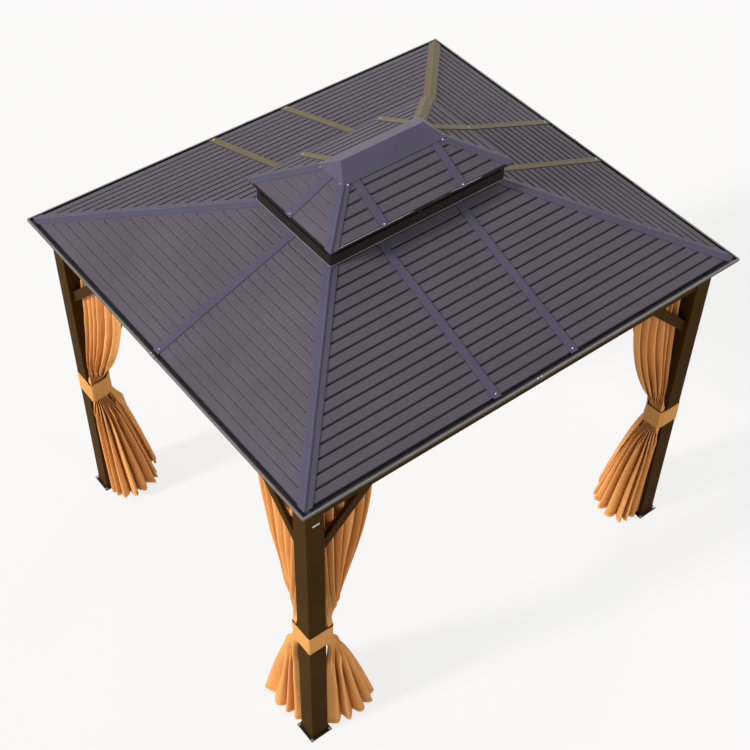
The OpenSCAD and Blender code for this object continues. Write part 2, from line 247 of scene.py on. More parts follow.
class Nodes:
    """A small helper that adds nodes to one tree."""

    def __init__(self, tree):
        self.nodes, self.links = tree.nodes, tree.links

    def put(self, socket, value):
        if isinstance(value, bpy.types.NodeSocket):
            self.links.new(value, socket)
        else:
            socket.default_value = value

    def add(self, kind, inputs=None, **settings):
        node = self.nodes.new(kind)
        for key, value in settings.items():
            setattr(node, key, value)
        for key, value in (inputs or {}).items():
            self.put(node.inputs[key], value)
        return node

    def math(self, operation, a, b=0.0):
        return self.add("ShaderNodeMath", {0: a, 1: b}, operation=operation).outputs[0]

    def seen_rays(self):
        """1 for rays that show the background: straight on, in metal or through glass."""
        path = self.add("ShaderNodeLightPath").outputs
        rays = self.math("MAXIMUM", path["Is Camera Ray"], path["Is Glossy Ray"])
        return self.math("MAXIMUM", rays, path["Is Transmission Ray"])


class Shader(Nodes):
    """A small helper that builds one node material."""

    def __init__(self, name):
        self.material = bpy.data.materials.new(name)
        self.material.use_nodes = True
        super().__init__(self.material.node_tree)
        self.body = self.nodes["Principled BSDF"]

    def set(self, **values):
        for key, value in values.items():
            self.put(self.body.inputs[key.replace("_", " ")], value)

    def place(self, scale=(1, 1, 1), source="Object"):
        coords = self.add("ShaderNodeTexCoord").outputs[source]
        return self.add("ShaderNodeMapping", {"Vector": coords, "Scale": scale}).outputs["Vector"]

    def split(self, vector):
        return self.add("ShaderNodeSeparateXYZ", {0: vector}).outputs

    def object_point(self):
        return self.split(self.add("ShaderNodeTexCoord").outputs["Object"])

    def face_normal(self):
        return self.split(self.add("ShaderNodeNewGeometry").outputs["True Normal"])

    def shut_in(self, distance):
        return self.add("ShaderNodeAmbientOcclusion", {"Distance": distance}, samples=6).outputs["AO"]

    def noise(self, vector, scale, detail=4, rough=0.55):
        return self.add("ShaderNodeTexNoise", {
            "Vector": vector, "Scale": scale, "Detail": detail, "Roughness": rough}).outputs["Fac"]

    def ramp(self, fac, stops):
        node = self.add("ShaderNodeValToRGB", {"Fac": fac})
        band = node.color_ramp
        while len(band.elements) < len(stops):
            band.elements.new(0.5)
        for element, (place, colour) in zip(band.elements, stops):
            element.position = place
            element.color = (*colour, 1)
        return node.outputs["Color"]

    def two_tone(self, fac, dark, pale, high=0.7):
        return self.ramp(fac, [(0.3, dark), (high, pale)])

    def grey(self, fac, *stops):
        return self.ramp(fac, [(place, (level,) * 3) for place, level in stops])

    def spread(self, fac, low, high):
        return self.add("ShaderNodeMapRange", {"Value": fac, "To Min": low, "To Max": high}).outputs[0]

    def mix(self, fac, a, b, blend="MIX"):
        node = self.add("ShaderNodeMix", {"Factor": fac}, data_type="RGBA", blend_type=blend)
        for socket, value in ((node.inputs[6], a), (node.inputs[7], b)):
            self.put(socket, (*value, 1) if isinstance(value, tuple) else value)
        return node.outputs[2]

    def bump(self, height, strength, distance, normal=None):
        inputs = {"Height": height, "Strength": strength, "Distance": distance}
        if normal is not None:
            inputs["Normal"] = normal
        return self.add("ShaderNodeBump", inputs).outputs["Normal"]


def tone(colour, gain):
    """A colour made lighter or darker."""
    return tuple(min(1.0, c * gain) for c in colour)


def edge_mask(shader, radius):
    """White along the edges of a solid, from a rounded normal."""
    rounded = shader.add("ShaderNodeBevel", {"Radius": radius}, samples=4).outputs["Normal"]
    plain = shader.add("ShaderNodeNewGeometry").outputs["True Normal"]
    dot = shader.add("ShaderNodeVectorMath", {0: rounded, 1: plain}, operation="DOT_PRODUCT").outputs["Value"]
    return rounded, shader.grey(dot, (0.80, 1), (0.97, 0))


def painted_metal(name, colour, roughness, wear=0.35, gloss=0.22):
    """Powder-coated metal with soft mottling, fine grain and paler edges."""
    s = Shader(name)
    place = s.place()
    mottle = s.two_tone(s.noise(place, 3.0, 5), tone(colour, 0.86), tone(colour, 1.14))
    rounded, edges = edge_mask(s, 0.003)
    scuffs = s.mix(s.noise(place, 40.0, 3), edges, (0, 0, 0), "MULTIPLY")
    s.set(Base_Color=s.mix(s.math("MULTIPLY", scuffs, wear), mottle, tone(colour, 1.9)))
    s.set(Roughness=s.spread(s.noise(place, 9.0, 4), roughness - 0.06, roughness + 0.08))
    s.set(Specular_IOR_Level=gloss)
    s.set(Normal=s.bump(s.noise(place, 900.0, 2), 0.10, 0.0004, rounded))
    return s.material


def roof_paint(name, colour, roughness, gloss, warm_sheen=None, edge=0.0, grooved=False):
    """Painted roof metal: run-off streaks, painted shade in every groove and joint, painted light on the left
    faces' shaded groove walls, edges pale from wear and a painted highlight where asked, and a painted warm
    bronze reflection where asked.
    """
    s = Shader(name)
    place = s.place()
    mottle = s.two_tone(s.noise(place, 2.2, 6, 0.6), tone(colour, 0.90), tone(colour, 1.10), 0.72)
    run = s.noise(s.place((7, 7, 0.6)), 4.0, 6, 0.7)
    coat = s.mix(s.grey(run, (0.5, 0), (0.78, 0.30)), mottle, tone(colour, 1.25))
    # Painted reflection: the bronze tint of the warm back light, on caps chosen by their facing.
    if warm_sheen:
        coat = s.mix(warm_sheen(s), coat, WARM_SHEEN_TINT)
    normal = None
    if edge:
        # Paler cap edges: wear, and a painted highlight along the thin bright cap edges.
        normal, worn_and_highlit_edges = edge_mask(s, 0.0025)
        coat = s.mix(s.math("MULTIPLY", worn_and_highlit_edges, edge), coat, tone(colour, 1.9))
    # Painted shade: darker where ambient occlusion finds recesses, joints and cap edges, and kept faint on
    # the sunlit left faces.
    shade_in_recesses = s.grey(s.shut_in(SHADE_REACH), (0.50, 0.80), (0.86, 0))
    lit_left_faces = lit_left_slope(s)
    if grooved:
        # Grooves: painted shade lines everywhere, and painted light on the left faces' lower walls, which lie
        # in the key sun's shade.
        groove_shade_lines, groove_light, lit_left_faces = groove_lines(s)
        coat = s.mix(groove_light, coat, GROOVE_LIGHT_PAINT)
        shade_in_recesses = s.math("MAXIMUM", shade_in_recesses, groove_shade_lines)
    painted_shade = s.math("MULTIPLY", shade_in_recesses, s.spread(lit_left_faces, 1.0, LEFT_SHADE_SHARE))
    s.set(Base_Color=s.mix(painted_shade, coat, tone(colour, 0.12)), Specular_IOR_Level=gloss)
    s.set(Roughness=s.spread(s.noise(place, 5.0, 5), roughness - 0.05, roughness + 0.09))
    s.set(Normal=s.bump(s.noise(place, 700.0, 2), 0.08, 0.0004, normal))
    return s.material


def groove_lines(s):
    """Masks of the grooves' painted shade lines, of the painted light on the shaded lower walls of the left
    faces' grooves, and of the left faces.
    """
    place, normal = s.object_point(), s.face_normal()
    away = {0: s.math("ABSOLUTE", place["X"]), 1: s.math("ABSOLUTE", place["Y"])}
    lower, upper = lower_faces(), upper_faces()
    tiers, lefts, flats = [], [], []
    for faces, top, grooves in ((lower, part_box("lower_panels_back")[1][2], LOWER_GROOVES),
                                (upper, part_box("upper_panels")[1][2], UPPER_GROOVES)):
        planes = [s.math("ADD", s.math("MULTIPLY", away[face.axis], -face.slope), face.height(0.0))
                  for face in (faces["right"], faces["back"])]
        lefts.append(s.math("LESS_THAN", *planes))
        flats.append(s.math("MINIMUM", *planes))
        foot = faces["back"].eave[1]
        climb = s.math("SUBTRACT", flats[-1], foot)
        tiers.append(s.math("DIVIDE", climb, (top - foot) / (grooves + 1)))
    split = (lower["back"].top[1] + upper["back"].eave[1]) / 2
    is_upper = s.math("GREATER_THAN", place["Z"], split)
    is_lower = s.math("SUBTRACT", 1.0, is_upper)
    step, left, flat = (s.math("ADD", s.math("MULTIPLY", low, is_lower), s.math("MULTIPLY", high, is_upper))
                        for low, high in (tiers, lefts, flats))
    left = s.math("MULTIPLY", left, s.math("LESS_THAN", place["X"], 0.0))
    climb = s.math("SUBTRACT", s.math("FRACT", s.math("ADD", step, 0.5)), 0.5)
    off = s.math("ABSOLUTE", climb)
    # Painted shade: a near-black line along every groove, where its walls lie in shade.
    line = s.add("ShaderNodeMapRange", {"Value": off, "From Min": LINE_CORE, "From Max": LINE_EDGE,
                                        "To Min": LINE_SHADE, "To Max": 0.0}).outputs[0]
    up = s.math("GREATER_THAN", normal["Z"], 0.05)
    line = s.math("MULTIPLY", line, up)
    # Painted light on the lower wall of each left-face groove, which lies in the key sun's shade.
    lower_wall = s.math("MULTIPLY", s.math("GREATER_THAN", climb, GROOVE_LIGHT_FROM),
                        s.math("LESS_THAN", climb, GROOVE_LIGHT_TO))
    sunk = s.math("GREATER_THAN", s.math("SUBTRACT", flat, place["Z"]), GROOVE_LIGHT_DEPTH)
    groove_light = s.math("MULTIPLY", s.math("MULTIPLY", lower_wall, sunk), s.math("MULTIPLY", left, up))
    return line, groove_light, left


def lit_left_slope(s):
    """White on faces that slope to the left, towards the key sun, where the painted shade is kept faint."""
    leftwards = s.math("MULTIPLY", s.face_normal()["X"], -1.0)
    return s.grey(leftwards, (0.05, 0), (0.20, 1))


def sheen_on_back_slopes(s):
    """White on faces that slope to the back or the right, where the caps get a painted warm reflection."""
    normal = s.face_normal()
    away = s.math("MAXIMUM", normal["X"], normal["Y"])
    return s.grey(away, (0.10, 0), (0.25, 1))


def sheen_on_back_hip(s):
    """White on the hip that runs to the back right corner, where its cap gets a painted warm reflection."""
    place = s.object_point()
    return s.math("MULTIPLY", *(s.math("GREATER_THAN", place[axis], 0.0) for axis in "XY"))


def gutter_paint(name, lip_z):
    """Gutter with a pale lip, a grey channel, a dark outer wall below the lip, and painted shade where the
    channel is shut in.
    """
    s = Shader(name)
    place = s.place()
    lip = s.math("GREATER_THAN", s.object_point()["Z"], lip_z - LIP_H)
    channel = s.math("GREATER_THAN", s.face_normal()["Z"], 0.5)
    pale = s.two_tone(s.noise(place, 8.0, 5), (0.16, 0.158, 0.16), (0.22, 0.218, 0.22))
    wall = s.two_tone(s.noise(place, 8.0, 5), (0.050, 0.036, 0.018), (0.070, 0.050, 0.026))
    tray = s.two_tone(s.noise(place, 14.0, 6), (0.050, 0.048, 0.058), (0.095, 0.092, 0.105))
    coat = s.mix(lip, s.mix(channel, wall, tray), pale)
    # Painted shade: near black where ambient occlusion finds the channel's corners and the shade beside the
    # lip.
    painted_shade = s.grey(s.shut_in(GUTTER_SHADE_REACH), (0.35, 0.9), (0.75, 0))
    s.set(Base_Color=s.mix(painted_shade, coat, (0.008, 0.008, 0.010)), Specular_IOR_Level=0.3)
    s.set(Roughness=s.spread(s.noise(place, 30.0, 3), 0.40, 0.55))
    rounded, _ = edge_mask(s, 0.0015)
    s.set(Normal=s.bump(s.noise(place, 500.0, 2), 0.08, 0.0004, rounded))
    return s.material


def cloth_weave(name, colour, hem_rows):
    """Woven cloth: yarns along the UV map, soft mottling, painted shade in the creases, stitched hems and a
    light sheen.
    """
    s = Shader(name)
    uv = s.add("ShaderNodeUVMap", uv_map="UVMap").outputs["UV"]
    yarn = s.math("ADD", *(s.add("ShaderNodeTexWave", {"Vector": uv, "Scale": YARNS}, bands_direction=along)
                           .outputs["Fac"] for along in "XY"))
    mottle = s.two_tone(s.noise(s.place((1, 1, 0.35)), 7.0, 5), tone(colour, 0.90), tone(colour, 1.08))
    flat = s.split(uv)
    seams = [s.math("LESS_THAN", s.math("ABSOLUTE", s.math("SUBTRACT", flat["Y"], row)), STITCH_HALF)
             for row in hem_rows]
    dashes = s.math("GREATER_THAN", s.math("FRACT", s.math("MULTIPLY", flat["X"], STITCHES)), 0.35)
    sewn = s.math("MULTIPLY", s.math("MAXIMUM", *seams), dashes)
    slub = s.noise(s.place((60, 60, 8), "UV"), 3.0, 3)
    base = s.mix(s.math("MULTIPLY", slub, 0.22), mottle, tone(colour, 0.72))
    # Painted shade: the cloth darkens deep in its folds, where ambient occlusion finds them.
    crease = s.grey(s.shut_in(CREASE_SHADE_REACH), (0.12, 0.75), (0.52, 0))
    base = s.mix(crease, base, (colour[0] * 0.36, colour[1] * 0.26, colour[2] * 0.14))
    s.set(Base_Color=s.mix(s.math("MULTIPLY", sewn, 0.6), base, tone(colour, 0.5)))
    s.set(Roughness=0.78, Specular_IOR_Level=0.2)
    s.set(Sheen_Weight=0.15, Sheen_Roughness=0.4, Sheen_Tint=(*tone(colour, 1.2), 1))
    s.set(Subsurface_Weight=0.2, Subsurface_Radius=(1.0, 0.55, 0.25), Subsurface_Scale=0.004)
    fabric = s.bump(yarn, 0.25, 0.0006)
    s.set(Normal=s.bump(s.math("MULTIPLY", sewn, -1.0), 0.5, 0.002, fabric))
    return s.material


def zinc(name, roughness):
    """Dull zinc with a fine grain."""
    s = Shader(name)
    place = s.place()
    s.set(Base_Color=s.two_tone(s.noise(place, 60.0, 5), (0.42, 0.42, 0.43), (0.66, 0.66, 0.65)))
    s.set(Metallic=1.0, Roughness=roughness)
    s.set(Normal=s.bump(s.noise(place, 900.0, 2), 0.1, 0.0003))
    return s.material


MATERIALS = {}


class GAZEBO_OT_finishes(bpy.types.Operator):
    """Makes the finishes and puts them on the frame's own parts"""

    bl_idname = "gazebo.finishes"
    bl_label = "Finishes"

    def execute(self, context):
        look = context.scene.gazebo_finish
        brown, roof, cloth, strap = map(tuple, (look.frame_paint, look.roof_paint, look.cloth, look.strap))
        cap = (roof[0] * 0.84, roof[1] * 0.89, roof[2] * 1.06)
        MATERIALS.update({
            "frame_paint": painted_metal("brown_powder_coat", brown, 0.60, 0.3, 0.02),
            "plate_steel": painted_metal("dark_plate_paint", (0.020, 0.017, 0.014), 0.45, 0.5),
            "gutter_metal": gutter_paint("gutter_paint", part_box("gutter_front")[1][2]),
            "roof_sheet": roof_paint("roof_sheet_paint", roof, 0.46, 0.10, grooved=True),
            # The back- and right-facing caps and the back right hip get a painted warm reflection.
            "roof_trim": roof_paint("roof_cap_paint", cap, 0.40, 0.15, sheen_on_back_slopes, 0.35),
            "hip_trim": roof_paint("hip_cap_paint", cap, 0.40, 0.15, sheen_on_back_hip, 0.35),
            "ridge_trim": roof_paint("ridge_cap_paint", cap, 0.38, 0.15, None, 0.35),
            # Near black: the dark trims' own paint, and painted shade where the vent band takes it, standing
            # for its shaded opening.
            "dark_trim": painted_metal("dark_trim_and_vent_shade_paint", (0.016, 0.013, 0.012), 0.5, 0.2, 0.15),
            "curtain_cloth": cloth_weave("sand_curtain_cloth", cloth, (0.018, 0.982)),
            "strap_cloth": cloth_weave("sand_strap_cloth", strap, (0.07, 0.93)),
            "flashing": painted_metal("pale_flashing_paint", (0.20, 0.18, 0.17), 0.4, 0.2),
            "zinc": zinc("zinc_fastener", 0.36),
            "plate_blank": zinc("brushed_blank_plate", 0.30),
        })
        own = {"lower_hip_caps": "hip_trim", "upper_hip_caps": "hip_trim", "ridge_cap": "ridge_trim"}
        slots = {row["node"]: row["material_slot"] for row in frame["record"]["subparts"]}
        for name, node in frame["nodes"].items():
            for slot in node.material_slots:
                slot.material = MATERIALS[own.get(name, slots[name])]
        return {"FINISHED"}


# Curtains

def key_path(start, middle, end, count):
    """Points along a bent plan line from the post side to the free edge."""
    t = np.linspace(0, 1, count)[:, None]
    start, middle, end = (np.array(p, float) for p in (start, middle, end))
    return (1 - t) ** 2 * start + 2 * t * (1 - t) * middle + t ** 2 * end


def even_steps(path, count):
    """The same line with points at even distances."""
    step = np.r_[0, np.cumsum(np.linalg.norm(np.diff(path, axis=0), axis=1))]
    at = np.linspace(0, step[-1], count)
    return np.column_stack([np.interp(at, step, path[:, k]) for k in (0, 1)])


def folds(across, count, rng, spread, round_off):
    """One row of uneven folds, broad on the outside (-1) and parted by narrow creases (1)."""
    shift = spread * (0.030 * np.sin(2 * math.pi * (across * 1.3 + rng.random()))
                      + 0.016 * np.sin(2 * math.pi * (across * 2.9 + rng.random())))
    depths = rng.uniform(1 - 0.38 * spread, 1 + 0.22 * spread, count + 2)
    depth = np.interp((across + shift) * count, np.arange(count + 2) - 0.5, depths)
    depth *= np.clip(np.minimum(across, 1 - across) / (0.12 * spread + 0.001), 0.3, 1)
    phase = 2 * math.pi * count * (across + shift)
    return lambda lean: (1 - 2 * np.abs(np.sin((phase + lean) / 2)) ** round_off) * depth


def set_off(path, offset):
    """Points beside a plan line, and the length of the line through them."""
    tangent = np.gradient(path, axis=0)
    normal = np.column_stack([-tangent[:, 1], tangent[:, 0]])
    normal /= np.linalg.norm(normal, axis=1)[:, None]
    points = path + normal * offset[:, None]
    return points, np.linalg.norm(np.diff(points, axis=0), axis=1).sum()


def fold_to_width(path, shape, width):
    """Deepens the folds until the row is as long as the flat cloth is wide."""
    low, high = 0.0, 0.12
    for _ in range(22):
        depth = (low + high) / 2
        low, high = (depth, high) if set_off(path, shape * depth)[1] < width else (low, depth)
    return set_off(path, shape * low)[0]


TOP_W = {"x": 0.385, "y": 0.455}
TIE_KEYS = ((0.026, 0.006), (0.027, 0.050), (0.025, 0.094))
TIE_GAP = 0.012
POST_GAP = 0.002
HEM_WAVE = 0.012
FIRST_SEED = 40
UPPER_ROWS, TIE_ROWS, LOWER_ROWS = 50, 8, 44
UPPER_CURVE, LOWER_CURVE = 0.84, 0.78
UPPER_GATHER, LOWER_GATHER = 0.15, 0.17
COLS_PER_GATHER = 11
GLIDER_R = 0.005
FOOT_PATHS = {
    "wide": ((0.014, 0.030), (0.460, -0.160), (0.285, 0.230)),
    "round": ((0.014, 0.030), (0.275, 0.020), (0.135, 0.330)),
    "tucked": ((0.014, 0.030), (0.225, 0.000), (0.255, 0.170)),
}


def foot_kind(corner, axis):
    """How far a curtain spreads below its strap."""
    if corner == "front_left":
        return "wide"
    return "round" if (axis == "y") == (corner == "back_left") else "tucked"


def curtain_points(levels, size, seed, paths, cols):
    """Plan and height of one gathered curtain, drawn from the post's outer corner."""
    rng = np.random.default_rng(seed)
    z_top, z_high, z_low, z_foot = levels
    across = np.linspace(0, 1, cols)
    top_path, tie_path, foot_path = (key_path(*((POST_W + u, v) for u, v in keys), cols) for keys in paths)
    upper = folds(across, size.pleats, rng, 1.0, 0.85)
    tie = folds(across, size.tie_pleats, rng, 0.0, 1.0)
    lower = folds(across, size.pleats + 1, rng, 1.0, 1.15)
    lean_up, lean_low = rng.uniform(-0.8, 0.8, 2)
    drag = rng.random(3)
    rows = []
    for e in np.linspace(1, 0, UPPER_ROWS):
        share = math.sin(e * math.pi / 2) ** UPPER_CURVE
        path = even_steps(tie_path + (top_path - tie_path) * share, cols)
        gather = math.exp(-(e / UPPER_GATHER) ** 2)
        wander = 0.35 * np.sin(2 * math.pi * (1.2 * across + 0.8 * e + drag[0]))
        sway = lean_up * share + wander * e * (1 - e) * 4
        shape = upper(sway) * (1 - gather) + tie(0.0) * gather
        plan = fold_to_width(path, shape, size.cut_width)
        rows.append(np.column_stack([plan, np.full(cols, z_high + (z_top - z_high) * e)]))
    held = rows[-1][:, :2]
    for z in np.linspace(z_high, z_low, TIE_ROWS)[1:]:
        rows.append(np.column_stack([held, np.full(cols, z)]))
    reach = z_low - z_foot
    hem = fold_to_width(even_steps(foot_path, cols), lower(lean_low), size.cut_width)
    fall = np.sqrt(reach ** 2 - np.minimum(np.linalg.norm(hem - held, axis=1), 0.6 * reach) ** 2)
    fall -= HEM_WAVE * (0.5 + 0.5 * np.sin(2 * math.pi * (1.6 * across + drag[1])))
    for d in np.linspace(0, 1, LOWER_ROWS)[1:]:
        share = d ** LOWER_CURVE
        path = even_steps(tie_path + (foot_path - tie_path) * share, cols)
        gather = math.exp(-(d / LOWER_GATHER) ** 2)
        towards_post = (path[0, 0] - POST_W - POST_GAP / 2) * (1 - gather)
        path[:, 0] -= towards_post * np.clip(1 - across / 0.15, 0, 1)
        wander = 0.3 * np.sin(2 * math.pi * (1.1 * across + 0.9 * d + drag[2]))
        sway = lean_low * share + wander * d * (1 - d) * 4
        shape = lower(sway) * (1 - gather) + tie(0.0) * gather
        plan = fold_to_width(path, shape, size.cut_width)
        plan[:, 0] = np.maximum(plan[:, 0], POST_W + POST_GAP)
        rows.append(np.column_stack([plan, z_low - fall * d]))
    return np.array(rows)


def place_soft(points, corner, swapped=False):
    """Moves cloth drawn from a post's outer corner to its place."""
    sx, sy = CORNERS[corner]
    u, v = points[..., 0], points[..., 1]
    if swapped:
        u, v = v, u
    placed = points.copy()
    placed[..., 0] = sx * (POST_X - u)
    placed[..., 1] = sy * (POST_Y - v)
    return placed


def soft_piece(prefix, node, points, along, slot, thickness, angle, closed=False):
    """A cloth piece in a node's place; along gives the UV map's steps across the cloth."""
    uv = np.dstack(np.meshgrid(along, np.linspace(1, 0, len(points))))
    mesh = grid_mesh(prefix + node, points, closed, uv)
    piece = add_object(prefix + node, mesh, MATERIALS[slot])
    thicken(piece, thickness)
    smooth(piece.data, angle)
    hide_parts(node)
    return piece


class GAZEBO_OT_curtains(bpy.types.Operator):
    """Makes the eight gathered curtains"""

    bl_idname = "gazebo.curtains"
    bl_label = "Curtains"

    def execute(self, context):
        size = context.scene.gazebo_curtain
        cols = size.tie_pleats * COLS_PER_GATHER + 1
        gliders = []
        for number, (corner, axis) in enumerate((c, a) for c in CORNERS for a in "xy"):
            node = "curtain_" + corner + "_" + axis
            strap_lo, strap_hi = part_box("strap_" + corner)
            lo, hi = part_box(node)
            levels = (hi[2] - size.drop, strap_hi[2] + TIE_GAP, strap_lo[2] - TIE_GAP, lo[2])
            top_w = TOP_W[axis]
            top_keys = ((0.005, 0.100), (0.5 * top_w, 0.098), (top_w, 0.092))
            paths = (top_keys, TIE_KEYS, FOOT_PATHS[foot_kind(corner, axis)])
            points = curtain_points(levels, size, FIRST_SEED + number, paths, cols)
            depth = points[0, :, 1]
            crests = 1 + np.flatnonzero((depth[1:-1] < depth[:-2]) & (depth[1:-1] <= depth[2:]))
            hung = place_soft(np.column_stack([points[0, crests, 0], np.full(len(crests), RAIL_IN),
                                                  np.full(len(crests), hi[2])]), corner, axis == "y")
            gliders += [(tuple(at), (0, 0, -1)) for at in hung]
            placed = place_soft(points, corner, axis == "y")
            piece = soft_piece("gathered_", node, placed, np.linspace(0, 1, cols), "curtain_cloth",
                               size.thickness, 70)
        fasteners("curtain_gliders", gliders, GLIDER_R, size.drop + 0.004, coat="dark_trim")
        return {"FINISHED"}


# Straps

STRAP_T = 0.0024
STRAP_SKIN = 0.002
STRAP_EDGE = 0.003
LOOP_RADII = (0.006, 0.016, 0.022, 0.022, 0.016)
LOOP_STEP = 0.006
STRAP_ROWS = 15
STRAP_CLEAR = 0.0043
STRAP_TUCK = 0.003
STRAP_SEED = 70


def rounded_loop(corners, radii, step):
    """A closed plan line with rounded corners, as evenly spaced points."""
    out = []
    count = len(corners)
    for i in range(count):
        before, here, after = (np.array(corners[(i + k) % count], float) for k in (-1, 0, 1))
        a = (before - here) / np.linalg.norm(before - here)
        b = (after - here) / np.linalg.norm(after - here)
        half = math.acos(np.clip(a @ b, -1, 1)) / 2
        reach = radii[i] / math.tan(half)
        out.extend(key_path(here + a * reach, here, here + b * reach, 9))
    out.append(out[0])
    line = np.array(out)
    length = np.linalg.norm(np.diff(line, axis=0), axis=1).sum()
    return even_steps(line, int(length / step) + 1)[:-1], length


class GAZEBO_OT_straps(bpy.types.Operator):
    """Makes the four cloth straps that tie the curtains to the posts"""

    bl_idname = "gazebo.straps"
    bl_label = "Straps"

    def execute(self, context):
        for number, corner in enumerate(CORNERS):
            node = "strap_" + corner
            lo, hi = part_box(node)
            reach = (hi[0] - lo[0]) - STRAP_CLEAR - STRAP_SKIN
            inner, outer = POST_W - STRAP_TUCK, -STRAP_SKIN
            outline = [(outer, outer), (reach, outer), (reach, inner), (inner, reach), (outer, reach)]
            line, length = rounded_loop(outline, LOOP_RADII, LOOP_STEP)
            shift = np.random.default_rng(STRAP_SEED + number).random(3)
            turn = np.linspace(0, 1, len(line), endpoint=False)
            tangent = np.roll(line, -1, axis=0) - np.roll(line, 1, axis=0)
            normal = np.column_stack([tangent[:, 1], -tangent[:, 0]])
            normal /= np.linalg.norm(normal, axis=1)[:, None]
            on_cloth = np.clip((np.maximum(line[:, 0], line[:, 1]) - POST_W) / 0.03, 0, 1)
            points = np.zeros((STRAP_ROWS, len(line), 3))
            for r, drop in enumerate(np.linspace(0, 1, STRAP_ROWS)):
                crease = np.sin(2 * math.pi * (turn * 17 + shift[0]) + 2.2 * drop)
                crease += 0.7 * np.sin(2 * math.pi * (turn * 29 + shift[1]) - 3.1 * drop)
                pull = (0.0012 * crease - 0.004 * math.sin(math.pi * drop)) * on_cloth
                points[r, :, :2] = line + normal * pull[:, None]
                sag = 0.006 * np.sin(2 * math.pi * (turn * 2 + shift[2])) * on_cloth
                points[r, :, 2] = hi[2] - STRAP_EDGE - (hi[2] - lo[2] - 2 * STRAP_EDGE) * drop + sag
            placed = place_soft(points, corner)
            piece = soft_piece("tied_", node, placed, turn * 4, "strap_cloth", STRAP_T, 50, closed=True)
        return {"FINISHED"}


# Fastener heads

HEX_TAPER, ROUND_TAPER = 0.86, 0.55
WASHER_T = 0.0016


def fastener_tree(name, material, sides, sizes):
    """Node tree that sets a bolt head on every point, turned along the point's facing."""
    tree = bpy.data.node_groups.new(name, "GeometryNodeTree")
    tree.interface.new_socket("Geometry", in_out="INPUT", socket_type="NodeSocketGeometry")
    sockets = {label: tree.interface.new_socket(label, in_out="INPUT", socket_type="NodeSocketFloat")
               for label in sizes}
    tree.interface.new_socket("Geometry", in_out="OUTPUT", socket_type="NodeSocketGeometry")
    t = Nodes(tree)
    given = t.add("NodeGroupInput").outputs
    taper = t.math("MULTIPLY", given["Head radius"], HEX_TAPER if sides == 6 else ROUND_TAPER)
    head = t.add("GeometryNodeMeshCone", {"Vertices": sides, "Radius Bottom": given["Head radius"],
                                          "Radius Top": taper, "Depth": given["Head height"]})
    join = t.add("GeometryNodeJoinGeometry")
    if sizes["Washer radius"]:
        disc = t.add("GeometryNodeMeshCylinder", {"Vertices": 20, "Depth": WASHER_T,
                                                  "Radius": given["Washer radius"]})
        t.put(join.inputs[0], disc.outputs["Mesh"])
    t.put(join.inputs[0], head.outputs["Mesh"])
    facing = t.add("GeometryNodeInputNamedAttribute", {"Name": "facing"}, data_type="FLOAT_VECTOR")
    turn = t.add("FunctionNodeAlignRotationToVector", {"Vector": facing.outputs["Attribute"]}, axis="Z")
    place = t.add("GeometryNodeInstanceOnPoints", {"Points": given["Geometry"], "Instance": join.outputs[0],
                                                   "Rotation": turn.outputs["Rotation"]})
    real = t.add("GeometryNodeRealizeInstances", {0: place.outputs[0]})
    paint = t.add("GeometryNodeSetMaterial", {0: real.outputs[0], "Material": material})
    t.add("NodeGroupOutput", {0: paint.outputs[0]})
    return tree, sockets


def fasteners(name, places, radius, height, sides=12, washer=0.0, coat="zinc"):
    """One piece with a head at each (position, direction)."""
    mesh = bpy.data.meshes.new(name)
    mesh.from_pydata([tuple(p) for p, _ in places], [], [])
    facing = mesh.attributes.new("facing", "FLOAT_VECTOR", "POINT")
    for i, (_, direction) in enumerate(places):
        facing.data[i].vector = Vector(direction).normalized()
    piece = link_new(name, mesh)
    sizes = {"Head radius": radius, "Head height": height, "Washer radius": washer}
    modifier = piece.modifiers.new("Heads", "NODES")
    modifier.node_group, sockets = fastener_tree(name + "_tree", MATERIALS[coat], sides, sizes)
    for label, value in sizes.items():
        modifier[sockets[label].identifier] = value
    face_outwards(bake_modifiers(piece))
    smooth(piece.data, 35)
    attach(piece, BODY)


# Roof faces

class Face:
    """One sloping roof face seen from outside: along the eave, outwards, and its height."""

    def __init__(self, eave, top, axis, sign):
        self.eave, self.top, self.axis, self.sign = eave, top, axis, sign
        self.slope = (top[1] - eave[1]) / (eave[0] - top[0])

    def height(self, out):
        return self.eave[1] + self.slope * (self.eave[0] - out)

    def point(self, along, out, lift=0.0):
        return Vector(in_plan(self.axis, self.sign * out, along, self.height(out) + lift))

    def out_at(self, z):
        return self.eave[0] - (z - self.eave[1]) / self.slope

    def normal(self):
        return Vector(in_plan(self.axis, self.sign * self.slope, 0.0, 1.0)).normalized()


def lower_faces():
    """The four faces of the lower roof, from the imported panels."""
    faces = {}
    for side, axis, sign in SIDES:
        lo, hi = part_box("lower_panels_" + side)
        outs = sorted((abs(lo[axis]), abs(hi[axis])))
        faces[side] = Face((outs[1], lo[2] + SHEET_T), (outs[0], hi[2]), axis, sign)
    return faces


def upper_faces():
    """The four faces of the upper roof, from the panels, the ridge cap's rim and the seam caps' ends."""
    lo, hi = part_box("upper_panels")
    rim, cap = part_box("ridge_cap")
    rise = {0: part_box("upper_seam_caps")[1][2] - STRIP_T, 1: rim[2]}
    return {side: Face((hi[axis], lo[2] + SHEET_T), (cap[axis], rise[axis]), axis, sign)
            for side, axis, sign in SIDES}


LONG_SEAM = 0.27
SHORT_SEAM = 0.23
LOWER_SEAMS = {"front": (-LONG_SEAM, LONG_SEAM), "back": (-LONG_SEAM, LONG_SEAM),
               "left": (0.0,), "right": (-SHORT_SEAM, SHORT_SEAM)}
UPPER_SEAMS = {**LOWER_SEAMS, "right": (0.0,)}


# Roof sheets

